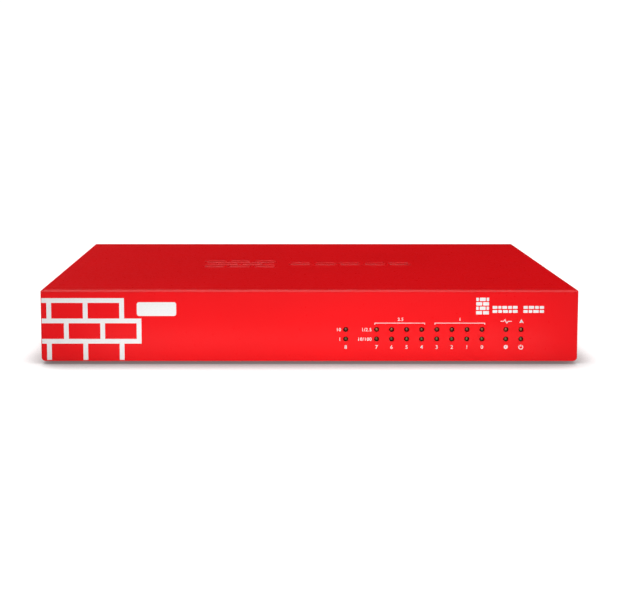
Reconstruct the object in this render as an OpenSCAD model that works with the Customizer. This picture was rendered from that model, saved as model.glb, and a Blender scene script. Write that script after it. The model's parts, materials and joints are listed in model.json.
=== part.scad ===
// Desktop firewall appliance: a folded sheet-steel case with front port
// indicators, a rear connector row, two side fans and its electronics.
// Frame: +Z up, front faces -Y, origin at the centre of the footprint on the floor.

/* [Case] */
// Width of the case, side to side
case_w = 328; // [327:0.5:332]
// Depth of the case, front to rear panel
case_d = 200; // [200:1:204]
// Height of the case, without its feet
case_h = 44; // [44:0.5:46]
// Thickness of the case sheet
sheet = 1; // [0.8:0.05:1]
// Outer bend radius along the front edge of the top
front_bend = 2; // [1.6:0.1:3]
// Outer bend radius along the side edges of the top
side_bend = 1.6; // [1.4:0.1:2.2]
// Outer radius of the vertical front corners
corner_bend = 1.3; // [1.1:0.1:2]
// Radius of the two lower corners of the front
front_corner_r = 2.8; // [1:0.1:4]
// Height of the rubber feet below the case
foot_h = 2; // [1.8:0.1:3]
// Radius of a rubber foot
foot_r = 7; // [5:0.5:9]

/* [Indicators] */
// Radius of an indicator hole in the front
led_hole_r = 1.5; // [1.5:0.05:1.8]
// Radius of an indicator lamp
led_r = 1.42; // [1.2:0.02:1.42]
// Spacing of the port indicator columns
led_pitch = 9.2; // [8.8:0.1:9.3]
// Height of the lower indicator row above the floor
led_low_z = 15.6; // [15:0.1:16]
// Distance between the two indicator rows
led_row_gap = 5.9; // [5:0.1:6.2]

/* [Vents] */
// Width of a side vent slot
vent_w = 2.6; // [1.6:0.1:3]
// Length of a side vent slot
vent_l = 12; // [8:0.5:13]
// Spacing of the side vent slots
vent_pitch = 6; // [5.5:0.1:6]
// Columns of side vent slots
vent_cols = 24; // [12:2:24]

/* [Board and connectors] */
// Thickness of the main board
board_t = 1.6; // [1.2:0.1:1.6]
// Height of the board standoffs
standoff_h = 6; // [6:0.1:6.4]
// Radius of the power inlet's pin
dc_pin_r = 1.25; // [0.9:0.05:1.3]
// Radius of the power inlet's bore
dc_bore_r = 3.15; // [2.8:0.05:3.3]

/* [Fans] */
// Side of a square fan frame
fan_size = 40; // [40:0.1:40.2]
// Thickness of a fan
fan_t = 20; // [20:0.1:20.4]
// Number of blades on each rotor
blades = 7; // [5:1:7]

/* [Hidden] */
$fn = 48;
e = 0.05;                              // running clearance
rear_proud = 4;                        // rocker's reach behind the rear panel
fy = -(case_d + rear_proud) / 2;       // outer face of the front
ry = fy + case_d;                      // outer face of the rear panel
hw = case_w / 2;                       // half the width
z0 = foot_h;                           // underside of the case
z1 = foot_h + case_h;                  // top of the case
iw = hw - sheet;                       // inside face of the cover's sides
pz = z0 + sheet + standoff_h;          // underside of the board
zb = pz + board_t;                     // top of the board
// Columns of indicators: the tenth port, the eight ports, then status lamps
led_x = concat([22.2], [for (i = [0:7]) 41 + led_pitch * i], [120, 129.2]);
led_z = [led_low_z, led_low_z + led_row_gap];
// Rear connector positions, along X
x_lan_a = 12; x_lan_b = -52; x_sfp = -96; x_usb = 52; x_con = 72;
x_dc = 133; x_sw = 108; x_rst = 90; x_gnd = 152; z_gnd = 14; z_lock = 34;
z_sw = 22; z_rst = zb + 4.4; z_dc = zb + 6.5;
face = ry + 0.5;                       // mouth plane of the jacks
jack_pitch = 13.97; jack_w = 15.9; jack_h = 13.4; jack_d = 21;
// Side screws, along Y, and their height
screw_y = [fy + 16, ry - 16]; screw_z = z0 + 6;
panel_x = [-125, -5, 125];
// Fans: axis along X, centres along Y
fan_y = [-38, 4.4]; fan_z = z0 + sheet + 1.2 + fan_size / 2;
fan_x1 = iw - 2.6; fan_x0 = fan_x1 - fan_t; fan_hole = 16;
feet = [[-140, -80], [140, -80], [-140, 76], [140, 76]];
stand = [[-148, -88], [-148, 0], [-148, 80], [-30, -84], [75, -80], [133, -82],
  [133, 0], [133, 74], [60, 62], [-18, 62], [-75, 5]];
cpu = [45, -10];
sink_screw = [[-34, -28], [34, -28], [-34, 28], [34, 28]];

// ---- helpers ----
module bx(x0, x1, y0, y1, za, zc) { translate([x0, y0, za]) cube([x1 - x0, y1 - y0, zc - za]); }
module cyx(x0, x1, y, z, r) { translate([x0, y, z]) rotate([0, 90, 0]) cylinder(h = x1 - x0, r = r); }
module cyy(y0, y1, x, z, r) { translate([x, y1, z]) rotate([90, 0, 0]) cylinder(h = y1 - y0, r = r); }
module cyz(za, zc, x, y, r) { translate([x, y, za]) cylinder(h = zc - za, r = r); }
function arc(cx, cy, r, a0, a1, n = 8) = [for (i = [0:n]) let (a = a0 + (a1 - a0) * i / n) [cx + r * cos(a), cy + r * sin(a)]];
function rrect(w, h, r, n = 6) = concat(
  arc(w / 2 - r, h / 2 - r, r, 0, 90, n), arc(-w / 2 + r, h / 2 - r, r, 90, 180, n),
  arc(-w / 2 + r, -h / 2 + r, r, 180, 270, n), arc(w / 2 - r, -h / 2 + r, r, 270, 360, n));
// Slot with round ends, standing along the second axis
module slot2(w, l) { square([w, l - w], center = true); for (s = [-1, 1]) translate([0, s * (l - w) / 2]) circle(w / 2, $fn = 24); }
// A prism of a 2D outline, along X or Y, centred on a point
module alongx(x0, x1) { translate([x0, 0, 0]) rotate([90, 0, 90]) linear_extrude(x1 - x0) children(); }
module alongy(y0, y1) { translate([0, y1, 0]) rotate([90, 0, 0]) linear_extrude(y1 - y0) children(); }
// Sheet block with rounded front, side and corner bends, inset by g
module sheet_block(g) {
  fr = front_bend - g; sr = side_bend - g; cr = corner_bend - g;
  intersection() {
    alongx(-hw + g, hw - g) union() {
      translate([fy + g + fr, z0 - 5 * g]) square([case_d + 10 * g - fr - g, case_h + 4 * g]);
      translate([fy + g, z0 - 5 * g]) square([case_d + 9 * g, case_h + 4 * g - fr]);
      translate([fy + g + fr, z1 - g - fr]) circle(fr);
    }
    alongy(fy, ry + 9 * g) union() {
      translate([-hw + g + sr, z0 - 5 * g]) square([case_w - 2 * g - 2 * sr, case_h + 4 * g]);
      translate([-hw + g, z0 - 5 * g]) square([case_w - 2 * g, case_h + 4 * g - sr]);
      for (s = [-1, 1]) translate([s * (hw - g - sr), z1 - g - sr]) circle(sr);
    }
    translate([0, 0, z0 - 5 * g]) linear_extrude(case_h + 4 * g) union() {
      translate([-hw + g + cr, fy + g]) square([case_w - 2 * g - 2 * cr, case_d + 9 * g]);
      translate([-hw + g, fy + g + cr]) square([case_w - 2 * g, case_d + 9 * g - cr]);
      for (s = [-1, 1]) translate([s * (hw - g - cr), fy + g + cr]) circle(cr);
    }
  }
}
// Countersunk cross-head screw lying along +Z, its head's face at z = 0, pointing down
module flat_screw(r, head_r, head_h, len) {
  difference() {
    union() {
      translate([0, 0, -head_h]) cylinder(h = head_h, r1 = r, r2 = head_r);
      translate([0, 0, -len]) cylinder(h = len - head_h / 2, r = r);
    }
    for (a = [0, 90]) rotate(a) translate([-head_r * 0.55, -0.35, -head_h * 0.75]) cube([head_r * 1.1, 0.7, head_h]);
  }
}
// Pan-head cross screw, the head's underside at z = 0, shank down
module pan_screw(r, head_r, head_h, len) {
  difference() {
    union() {
      cylinder(h = head_h * 0.55, r = head_r);
      translate([0, 0, head_h * 0.55]) cylinder(h = head_h * 0.45, r1 = head_r, r2 = head_r * 0.72);
      translate([0, 0, -len]) cylinder(h = len + 0.1, r = r);
    }
    for (a = [0, 90]) rotate(a) translate([-head_r * 0.55, -0.35, head_h * 0.4]) cube([head_r * 1.1, 0.7, head_h]);
  }
}
// Tube swept along a polyline of points, a ring at each point
function unit(v) = v / norm(v);
function tangent(p, i) = i == 0 ? unit(p[1] - p[0]) : i == len(p) - 1 ? unit(p[i] - p[i - 1]) : unit(unit(p[i + 1] - p[i]) + unit(p[i] - p[i - 1]));
function catmull(a, b, c, d, t) = 0.5 * (2 * b + (c - a) * t + (2 * a - 5 * b + 4 * c - d) * t * t + (3 * b - a - 3 * c + d) * t * t * t);
function smooth(p, n) = concat([for (i = [0:len(p) - 2], k = [0:n - 1])
  catmull(p[max(i - 1, 0)], p[i], p[i + 1], p[min(i + 2, len(p) - 1)], k / n)], [p[len(p) - 1]]);
module tube(p, r, up, s = 8) {
  n = len(p);
  pts = [for (i = [0:n - 1]) let (t = tangent(p, i), u = unit(cross(t, up)), v = cross(t, u))
    for (k = [0:s - 1]) p[i] + r * (u * cos(360 * k / s) + v * sin(360 * k / s))];
  sides = [for (i = [0:n - 2], k = [0:s - 1]) let (a = i * s + k, b = i * s + (k + 1) % s) each [[a, b, b + s], [a, b + s, a + s]]];
  polyhedron(pts, concat(sides, [[for (k = [s - 1:-1:0]) k]], [[for (k = [0:s - 1]) (n - 1) * s + k]]));
}

// ---- case ----
module side_vents(s) {
  for (c = [0:vent_cols - 1], z = [z0 + 14, z0 + 31])
    translate([0, (c - (vent_cols - 1) / 2) * vent_pitch, z]) alongx(s > 0 ? hw - 2 : -hw - 1, s > 0 ? hw + 1 : -hw + 2)
      slot2(vent_w, vent_l);
}
// Raised bricks pressed in the top: a small wall of three courses, then one long course
module relief() {
  bw = 15.2; bh = 7.4; gap = 2; step = bw + gap;
  places = concat(
    [for (row = [0:2], i = [0:2 - row % 2]) [-46 + (i - 1 + (row % 2) / 2) * step, (row - 1) * (bh + gap) - 2]],
    [for (i = [0:4]) [-4 + i * step, -2]]);
  for (p = places) translate([p[0], p[1], z1 - 0.2]) linear_extrude(0.5) polygon(rrect(bw, bh, 1.6, 4));
}
module top_cover() {
  color("#d8141c") difference() {
    union() { sheet_block(0); relief(); }
    sheet_block(sheet);
    for (s = [-1, 1]) {
      // rounded lower corners of the front
      difference() {
        bx(s > 0 ? hw - front_corner_r : -hw - 1, s > 0 ? hw + 1 : -hw + front_corner_r, fy - 1, fy + 5, z0 - 1, z0 + front_corner_r);
        cyy(fy - 2, fy + 6, s * (hw - front_corner_r), z0 + front_corner_r, front_corner_r);
      }
      bx(s > 0 ? iw - 1 : -hw - 1, s > 0 ? hw + 1 : -iw + 1, fy + 5 - 0.01, ry + 1, z0 - 1, z0 + 0.8);
      side_vents(s);
      for (y = screw_y) translate([s * hw, y, screw_z]) rotate([0, s * 90, 0]) {
        translate([0, 0, -sheet - 1]) cylinder(h = sheet + 2, r = 1.7);
        translate([0, 0, -1 - e]) cylinder(h = 1 + e + 0.01, r1 = 1.7, r2 = 3.05 + e);
      }
    }
    for (x = led_x, z = led_z) {
      cyy(fy - 1, fy + sheet + 1, x, z, led_hole_r);
      translate([x, fy - 0.01, z]) rotate([-90, 0, 0]) cylinder(h = 0.21, r1 = led_hole_r + 0.2, r2 = led_hole_r);
    }
  }
}
px = iw - 0.1;                         // outer side face of the pan
module base_pan() {
  br = 1.4;
  color("#c9151b") difference() {
    union() {
      bx(-px + br, px - br, fy + sheet + 0.2, ry, z0, z0 + sheet);
      bx(-px + 6, px - 6, fy + sheet + 0.2, fy + 2 * sheet + 0.2, z0 + 0.2, z0 + 9);
      // folded sides, open where the fan bracket stands
      difference() {
        alongy(fy + 5, ry - sheet - 0.2) difference() {
          union() {
            translate([-px + br, z0]) square([2 * (px - br), 10]);
            translate([-px, z0 + br]) square([2 * px, 10 - br]);
            for (s = [-1, 1]) translate([s * (px - br), z0 + br]) circle(br);
          }
          translate([-px + sheet, z0 + sheet]) square([2 * (px - sheet), 20]);
        }
        bx(px - sheet - 1, px + 1, fan_y[0] - 25, fan_y[1] + 25, z0 + br, z0 + 12);
      }
    }
    for (s = [-1, 1], y = screw_y) cyx(s > 0 ? px - 3 : -px - 3, s > 0 ? px + 3 : -px + 3, y, screw_z, 1.5 + e);
    for (x = panel_x) cyz(z0 - 1, z0 + 2, x, ry - 7, 1.7);
    // intake slots under the board
    for (x = [-78:9:-24], y = [-4, 22]) translate([x, y, z0 - 1]) linear_extrude(3) slot2(2.6, 18);
  }
}
rear_slots = concat([for (i = [0:38]) [-153 + 6 * i, z1 - 9.5, 9]], [for (i = [0:6]) [-153 + 6 * i, z0 + 16, 14]]);
module lan_cut(xc, n) { w = jack_pitch * (n - 1) + jack_w; bx(xc - w / 2 - 0.3, xc + w / 2 + 0.3, ry - 3, ry + 1, zb - 0.3, zb + jack_h + 0.3); }
module rear_panel() {
  color("#c9151b") difference() {
    union() {
      translate([0, 0, (z0 + z1 - 0.1) / 2]) alongy(ry - sheet, ry) polygon(rrect(2 * px - 0.2, case_h - 2 * sheet - 0.1, 1, 4));
      bx(-px + 14, px - 14, ry - 12, ry - sheet, z0 + sheet, z0 + 2 * sheet);
      for (s = [-1, 1]) bx(s > 0 ? px - 0.1 - sheet : -px + 0.1, s > 0 ? px - 0.1 : -px + 0.1 + sheet, ry - 12, ry - sheet, z0 + 12, z1 - 4);
      cyy(ry - 4, ry - sheet, x_gnd, z_gnd, 3.6);
    }
    lan_cut(x_lan_a, 4); lan_cut(x_lan_b, 4); lan_cut(x_con, 1);
    bx(x_usb - 6.85, x_usb + 6.85, ry - 3, ry + 1, zb - 0.3, zb + 15.9);
    bx(x_sfp - 7.4, x_sfp + 7.4, ry - 3, ry + 1, zb - 0.3, zb + 10.1);
    cyy(ry - 3, ry + 1, x_dc, z_dc, 4.7);
    bx(x_sw - 6.6, x_sw + 6.6, ry - 3, ry + 1, z_sw - 9.6, z_sw + 9.6);
    cyy(ry - 3, ry + 1, x_rst, z_rst, 1.8);
    cyy(ry - 6, ry + 1, x_gnd, z_gnd, 2 + e);
    translate([x_gnd, 0, z_lock]) alongy(ry - 3, ry + 1) rotate(90) slot2(3, 7);
    for (s = rear_slots) translate([s[0], 0, s[1]]) alongy(ry - 3, ry + 1) slot2(2.6, s[2]);
    for (x = panel_x) cyz(z0, z0 + 4, x, ry - 7, 1.5 + e);
  }
}
module rubber_feet() {
  color("#1b1b1c") for (f = feet) translate([f[0], f[1], 0]) rotate_extrude()
    polygon([[0, 0], [foot_r - 0.9, 0], [foot_r - 0.5, 0.15], [foot_r - 0.1, foot_h * 0.4], [foot_r, foot_h], [0, foot_h]]);
}
module cover_screws() {
  color("#2a2a2c") for (s = [-1, 1], y = screw_y) translate([s * (hw - 0.02), y, screw_z]) rotate([0, s * 90, 0]) flat_screw(1.5, 3.0, 1, 5);
}
module panel_screws() {
  color("#b9bcc0") for (x = panel_x) translate([x, ry - 7, z0]) rotate([180, 0, 0]) pan_screw(1.5, 2.9, 1.2, 4);
}
module rating_label() { color("#e8e8e6") translate([10, -52, z0 - 0.15]) linear_extrude(0.15) polygon(rrect(96, 44, 2)); }

// ---- electronics ----
module main_board() {
  color("#0f5b38") difference() {
    bx(-154, 138, fy + 4.5, ry - 3, pz, zb);
    for (p = stand) cyz(pz - 1, zb + 1, p[0], p[1], 1.7);
    for (p = sink_screw) cyz(pz - 1, zb + 1, cpu[0] + p[0], cpu[1] + p[1], 1.7);
  }
}
module board_standoffs() {
  color("#c8b060") for (p = stand) translate([p[0], p[1], z0 + sheet]) difference() {
    cylinder(h = standoff_h, r = 3, $fn = 6);
    translate([0, 0, 1]) cylinder(h = standoff_h, r = 1.5 + e);
  }
}
module board_screws() { color("#c4c6c9") for (p = stand) translate([p[0], p[1], zb]) pan_screw(1.5, 2.8, 1.9, 5.2); }
module processor() {
  color("#24402f") translate([cpu[0], cpu[1], zb]) union() {
    translate([-17.5, -17.5, 0.3]) cube([35, 35, 1.1]);
    translate([-16, -16, 0]) cube([32, 32, 0.4]);
    translate([-13.5, -13.5, 1.3]) cube([27, 27, 1.5]);
  }
}
module thermal_pad() { color("#9fa4ab") translate([cpu[0] - 13, cpu[1] - 13, zb + 2.8]) cube([26, 26, 0.5]); }
sz = zb + 3.3;                         // underside of the heat sink
module heat_sink() {
  color("#35373b") translate([cpu[0], cpu[1], sz]) difference() {
    union() {
      translate([-38, -33, 0]) cube([76, 66, 3.5]);
      for (i = [0:14]) translate([-30, -31.4 + i * 4.4, 3.4]) cube([60, 1.2, 19]);
    }
    for (p = sink_screw) translate([p[0], p[1], -1]) cylinder(h = 9, r = 1.7);
  }
}
module heat_sink_screws() {
  color("#d0d2d5") for (p = sink_screw) translate([cpu[0] + p[0], cpu[1] + p[1], sz + 3.5]) pan_screw(1.5, 2.9, 2.2, 3.5 + 3.3 + board_t + 1.5);
}
module memory_socket() {
  color("#1f2022") difference() {
    union() {
      bx(-80, -6, -28, -21.5, zb, zb + 5);
      bx(-80, -77.2, -58, -28, zb, zb + 4.2);
      bx(-8.8, -6, -58, -28, zb, zb + 4.2);
      // ledges under the module's far corners and catches in its notches
      for (s = [-1, 1]) {
        bx(-43 + s * 35.6 - 1.4, -43 + s * 35.6 + 1.4, -58, -54, zb, zb + 2.5);
        bx(-43 + s * 34 - 1.2, -43 + s * 34 + 1.2, -46, -44, zb + 2, zb + 4.2);
      }
    }
    bx(-77, -9, -28.1, -24, zb + 2.4, zb + 3.6);
  }
}
module memory_module() {
  color("#16613d") difference() {
    bx(-76.8, -9.2, -56.5, -25, zb + 2.5, zb + 3.5);
    cyz(zb + 2, zb + 4, -76.8, -45, 2);
    cyz(zb + 2, zb + 4, -9.2, -45, 2);
    bx(-52, -50.4, -29, -24.5, zb + 2, zb + 4);
  }
}
module memory_chips() { color("#202124") for (i = [0:3]) bx(-72 + i * 16, -61 + i * 16, -50, -37, zb + 3.5, zb + 4.6); }
module storage_socket() { color("#1f2022") difference() { bx(-92, -86.5, -53, -29, zb, zb + 4.2); bx(-92.1, -89.5, -52.1, -29.9, zb + 2.1, zb + 3.1); } }
module storage_module() {
  color("#1c2c52") difference() {
    union() { bx(-131.5, -90, -52, -30, zb + 2.2, zb + 3); bx(-128, -115, -47, -35, zb + 2.9, zb + 4.2); bx(-112, -97, -48, -34, zb + 2.9, zb + 4.1); }
    cyz(zb + 2, zb + 5, -131.5, -41, 1.6);
  }
}
module storage_screw() {
  color("#c8b060") difference() { cyz(zb, zb + 2.2, -131.5, -41, 2.6); cyz(zb + 0.3, zb + 3, -131.5, -41, 1.2 + e); }
  color("#c8b060") translate([-131.5, -41, zb + 3]) pan_screw(1.2, 2.6, 1.1, 2.4);
}
module battery_holder() {
  color("#1f2022") difference() {
    cyz(zb, zb + 4.4, -120, 22, 11.6);
    cyz(zb + 1, zb + 5, -120, 22, 10 + e);
    bx(-126, -114, 8, 22, zb + 1, zb + 5);
  }
}
module coin_cell() { color("#c9ccd0") translate([-120, 22, zb + 1]) rotate_extrude() polygon([[0, 0], [9.4, 0], [10, 0.6], [10, 2.9], [9.7, 3.2], [0, 3.2]]); }
module network_chips() {
  color("#232427") { bx(-104.5, -87.5, 24, 41, zb, zb + 2.2); for (x = [-74, -44, 8, 34]) bx(x - 6, x + 6, 58, 70, zb, zb + 1.4); bx(-66, -42, 22, 46, zb, zb + 2.4); }
}
module capacitors() {
  color("#26303e") for (x = [100, 111], y = [19, 30]) translate([x, y, zb]) rotate_extrude()
    polygon([[0, 0], [4.2, 0], [4.2, 0.8], [4, 0.9], [4, 9.6], [3.6, 10], [0, 10]]);
}
module inductors() { color("#3a3b3e") for (y = [-34, -21, -8, 5]) translate([97, y, zb]) linear_extrude(5) polygon(rrect(10, 10, 1.6, 3)); }

// ---- connectors ----
// Outline of a modular jack's mouth, in X and Z, from the jack's own floor, grown by g
function mouth(g = 0) = [[-1.65 - g, 0.8 - g], [1.65 + g, 0.8 - g], [1.65 + g, 1.9 - g], [3.05 + g, 1.9 - g], [3.05 + g, 3.2 - g], [5.85 + g, 3.2 - g],
  [5.85 + g, 9.95 + g], [-5.85 - g, 9.95 + g], [-5.85 - g, 3.2 - g], [-3.05 - g, 3.2 - g], [-3.05 - g, 1.9 - g], [-1.65 - g, 1.9 - g]];
function jack_x(xc, n) = [for (i = [0:n - 1]) xc + (i - (n - 1) / 2) * jack_pitch];
module jack_shell(xc, n) {
  w = jack_pitch * (n - 1) + jack_w;
  color("#b9bdc2") difference() {
    bx(xc - w / 2, xc + w / 2, face - jack_d, face, zb, zb + jack_h);
    bx(xc - w / 2 + 0.3, xc + w / 2 - 0.3, face - jack_d + 0.3, face - 0.3, zb - 1, zb + jack_h - 0.3);
    for (x = jack_x(xc, n)) translate([x, 0, zb]) alongy(face - 1, face + 1) polygon(mouth(0.15));
  }
}
module jack_body(xc, n) {
  w = jack_pitch * (n - 1) + jack_w;
  color("#1d1e20") difference() {
    bx(xc - w / 2 + 0.3, xc + w / 2 - 0.3, face - jack_d + 0.3, face - 0.3, zb, zb + jack_h - 0.3);
    for (x = jack_x(xc, n)) {
      translate([x, 0, zb]) alongy(face - 15, face) polygon(mouth());
      bx(x - 4.4, x + 4.4, face - 14, face - 2.2, zb + 9.9, zb + 11.7);
    }
  }
}
module jack_contacts() {
  color("#d9b24a") for (x = concat(jack_x(x_lan_a, 4), jack_x(x_lan_b, 4), [x_con]), k = [0:7])
    alongx(x + (k - 3.5) * 1.02 - 0.18, x + (k - 3.5) * 1.02 + 0.18)
      translate([face, zb]) polygon([[-14, 11.65], [-3, 11.65], [-2.5, 11.4], [-2.35, 11], [-2.55, 10.6], [-11, 8.2], [-11.1, 8.53],
        [-2.85, 10.88], [-2.7, 11.05], [-2.8, 11.25], [-3.1, 11.32], [-14, 11.32]]);
}
usb_z = [zb + 3.75, zb + 11.45];
module usb_shell() {
  color("#b9bdc2") difference() {
    bx(x_usb - 6.55, x_usb + 6.55, face - 17.5, face, zb, zb + 15.6);
    bx(x_usb - 6.25, x_usb + 6.25, face - 17.2, face - 0.3, zb - 1, zb + 15.3);
    for (z = usb_z) bx(x_usb - 6.25, x_usb + 6.25, face - 1, face + 1, z - 2.56, z + 2.56);
  }
}
module usb_insulator() {
  color("#1f5fae") union() {
    difference() {
      bx(x_usb - 6.25, x_usb + 6.25, face - 17.2, face - 0.3, zb, zb + 15.3);
      for (z = usb_z) bx(x_usb - 6.26, x_usb + 6.26, face - 12, face + 1, z - 2.56, z + 2.56);
    }
    for (z = usb_z) bx(x_usb - 5.55, x_usb + 5.55, face - 12.1, face - 1.4, z + 0.25, z + 2.05);
  }
}
sfp_f = ry + 0.8;
module sfp_cage() {
  color("#aeb3b8") difference() {
    bx(x_sfp - 7.1, x_sfp + 7.1, sfp_f - 48.5, sfp_f, zb, zb + 9.8);
    bx(x_sfp - 6.8, x_sfp + 6.8, sfp_f - 48.2, sfp_f + 1, zb + 0.3, zb + 9.5);
    for (i = [0:5], k = [-1, 0, 1]) cyz(zb + 9, zb + 11, x_sfp + k * 3.6, sfp_f - 14 - i * 5, 1.1);
    bx(x_sfp - 1.6, x_sfp + 1.6, sfp_f - 9, sfp_f - 6, zb - 1, zb + 0.6);
  }
}
module sfp_connector() {
  color("#1d1e20") difference() {
    bx(x_sfp - 5.9, x_sfp + 5.9, sfp_f - 48.2, sfp_f - 39, zb + 0.3, zb + 6.3);
    bx(x_sfp - 4.7, x_sfp + 4.7, sfp_f - 46, sfp_f - 38, zb + 3, zb + 4.3);
  }
}
module sfp_gasket() {
  color("#d8dadd") difference() {
    bx(x_sfp - 7.9, x_sfp + 7.9, ry - 2.8, ry - sheet, zb - 0.8, zb + 10.6);
    bx(x_sfp - 7.1, x_sfp + 7.1, ry - 4, ry + 1, zb, zb + 9.8);
    for (i = [-3:3]) bx(x_sfp + i * 2 - 0.25, x_sfp + i * 2 + 0.25, ry - 2.9, ry - 1.6, zb - 1, zb + 11);
  }
}
module dc_jack() {
  color("#1b1c1e") difference() {
    union() {
      bx(x_dc - 4.6, x_dc + 4.6, ry - 15, ry - sheet - 0.2, zb, zb + 11.2);
      cyy(ry - 2, ry + 0.4, x_dc, z_dc, 4.5);
    }
    cyy(ry - 10, ry + 1, x_dc, z_dc, dc_bore_r);
    cyy(ry - 12, ry - 9, x_dc, z_dc, dc_pin_r + 0.4);
  }
}
module dc_pin() {
  color("#cfd2d6") translate([x_dc, ry - 12, z_dc]) rotate([-90, 0, 0]) rotate_extrude()
    polygon([[0, 0], [dc_pin_r + 0.4, 0], [dc_pin_r + 0.4, 2], [dc_pin_r, 2], [dc_pin_r, 10.6], [dc_pin_r - 0.35, 11.1], [0, 11.1]]);
}
sp = ry + rear_proud - 7.018;          // rocker pivot, along Y
module switch_housing() {
  color("#141415") difference() {
    union() {
      translate([x_sw, 0, z_sw]) alongy(ry, ry + 2) polygon(rrect(15, 21, 1.2));
      bx(x_sw - 6.4, x_sw + 6.4, ry - 15, ry + 1, z_sw - 9.4, z_sw + 9.4);
    }
    bx(x_sw - 5, x_sw + 5, ry - 8, ry + 3, z_sw - 9, z_sw + 9);
    cyx(x_sw - 6.1, x_sw + 6.1, sp, z_sw, 1.4 + e);
    for (s = [-1, 1]) bx(x_sw - 2.45, x_sw + 2.45, ry - 16, ry - 12, z_sw + s * 4 - 0.45, z_sw + s * 4 + 0.45);
  }
}
module power_rocker() {
  color("#101011") union() {
    translate([0, sp, z_sw]) rotate([-10, 0, 0]) intersection() {
      alongx(x_sw - 4.8, x_sw + 4.8) polygon([[2.6, -9], [6.42, -9], [4.9, 0], [6.42, 9], [2.6, 9], [-3, 2.5], [-3, -2.5]]);
      cyx(x_sw - 5, x_sw + 5, 0, 0, 8.8);
    }
    cyx(x_sw - 6, x_sw + 6, sp, z_sw, 1.4);
  }
}
module switch_terminals() {
  color("#d3c9a4") for (s = [-1, 1]) bx(x_sw - 2.4, x_sw + 2.4, ry - 22, ry - 12, z_sw + s * 4 - 0.4, z_sw + s * 4 + 0.4);
}
// Wires of the power switch, from its tabs to the board plug
sw_in = ry - 22;
wire_a = [[108, sw_in, 26], [108, sw_in - 3, 26], [107.4, sw_in - 10, 25.8], [106.4, sw_in - 18, 24.6], [106.2, 53.2, 22.6], [106.2, 52, 20.4], [106.2, 52, zb + 7.6]];
wire_b = [[108, sw_in, 18], [108, sw_in - 2.4, 18], [108.8, sw_in - 8, 19.2], [109.7, sw_in - 15, 21.6], [109.8, 54, 22.4], [109.8, 52, 20.4], [109.8, 52, zb + 7.6]];
module switch_cable() { color("#1a1a1b") { tube(smooth(wire_a, 4), 0.85, [1, 0, 0.001]); tube(smooth(wire_b, 4), 0.85, [1, 0, 0.001]); } }
module switch_plug() { color("#e8e6df") union() { bx(103.4, 112.6, 49.2, 54.8, zb, zb + 3.4); bx(104, 112, 49.8, 54.2, zb + 3.3, zb + 7.6); } }
module reset_button() {
  color("#e9e9e7") union() {
    cyy(ry - 6.4, ry - 0.4, x_rst, z_rst, 1.5);
    cyy(ry - 7, ry - 6.3, x_rst, z_rst, 2.2);
    cyy(ry - 10, ry - 6.9, x_rst, z_rst, 0.8);
  }
}
module reset_switch() {
  color("#1f2022") difference() {
    bx(x_rst - 3.5, x_rst + 3.5, ry - 13.5, ry - 7.9, zb, z_rst + 3);
    cyy(ry - 11, ry - 7, x_rst, z_rst, 0.8 + e);
  }
}
module ground_screw() { color("#c9ccd0") translate([x_gnd, ry + 0.8, z_gnd]) rotate([-90, 0, 0]) pan_screw(2, 3.9, 2.4, 7.5); }
module ground_washer() {
  color("#dfe1e3") translate([x_gnd, ry, z_gnd]) rotate([-90, 0, 0]) difference() {
    cylinder(h = 0.8, r = 4.5);
    translate([0, 0, -1]) cylinder(h = 3, r = 2.1);
    for (i = [0:11]) rotate(i * 30) translate([3.6, -0.3, -1]) cube([2, 0.6, 3]);
  }
}

// ---- fans ----
module fan_bracket() {
  color("#b4b8bc") difference() {
    union() {
      bx(fan_x1, fan_x1 + 1, fan_y[0] - 22, fan_y[1] + 22, z0 + sheet, z1 - sheet - 0.6);
      bx(fan_x0 + 4, fan_x1 + 1, fan_y[0] - 22, fan_y[1] + 22, z0 + sheet, z0 + sheet + 1);
    }
    for (y = fan_y) {
      cyx(fan_x1 - 1, fan_x1 + 2, y, fan_z, 18.9);
      for (a = [-1, 1], b = [-1, 1]) cyx(fan_x1 - 1, fan_x1 + 2, y + a * fan_hole, fan_z + b * fan_hole, 1.8);
    }
  }
}
// Square fan frame about its axis along +X, from x = 0 (intake) to fan_t (outlet)
module fan_frame(y) {
  color("#17181a") translate([fan_x0, y, fan_z]) difference() {
    union() {
      difference() {
        union() {
          for (x = [0, fan_t - 3.5]) alongx(x, x + 3.5) polygon(rrect(fan_size, fan_size, 3));
          cyx(1, fan_t - 1, 0, 0, fan_size / 2 - 0.02);
        }
        cyx(-1, fan_t + 1, 0, 0, 19);
      }
      cyx(fan_t - 2.5, fan_t - 0.1, 0, 0, 11);
      for (a = [45, 135, 225, 315]) rotate([a, 0, 0]) bx(fan_t - 2.3, fan_t - 0.3, -1.1, 1.1, 10, 19.6);
    }
    for (a = [-1, 1], b = [-1, 1]) cyx(-1, fan_t + 1, a * fan_hole, b * fan_hole, 1.5 + e);
  }
}
module fan_rotor(y) {
  color("#1d1e21") translate([fan_x0, y, fan_z]) union() {
    difference() {
      union() {
        cyx(2.6, fan_t - 3.2, 0, 0, 11.4);
        for (i = [0:blades - 1]) intersection() {
          rotate([i * 360 / blades, 0, 0]) translate([9.6, 0, 14.5]) rotate([0, 0, 42]) cube([14.5, 1, 8.4], center = true);
          difference() { cyx(2, fan_t - 2, 0, 0, 18.3); cyx(1, fan_t, 0, 0, 11); }
        }
      }
      cyx(6, fan_t, 0, 0, 10.3);
    }
    cyx(5.9, fan_t - 4, 0, 0, 1);
  }
}
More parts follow.
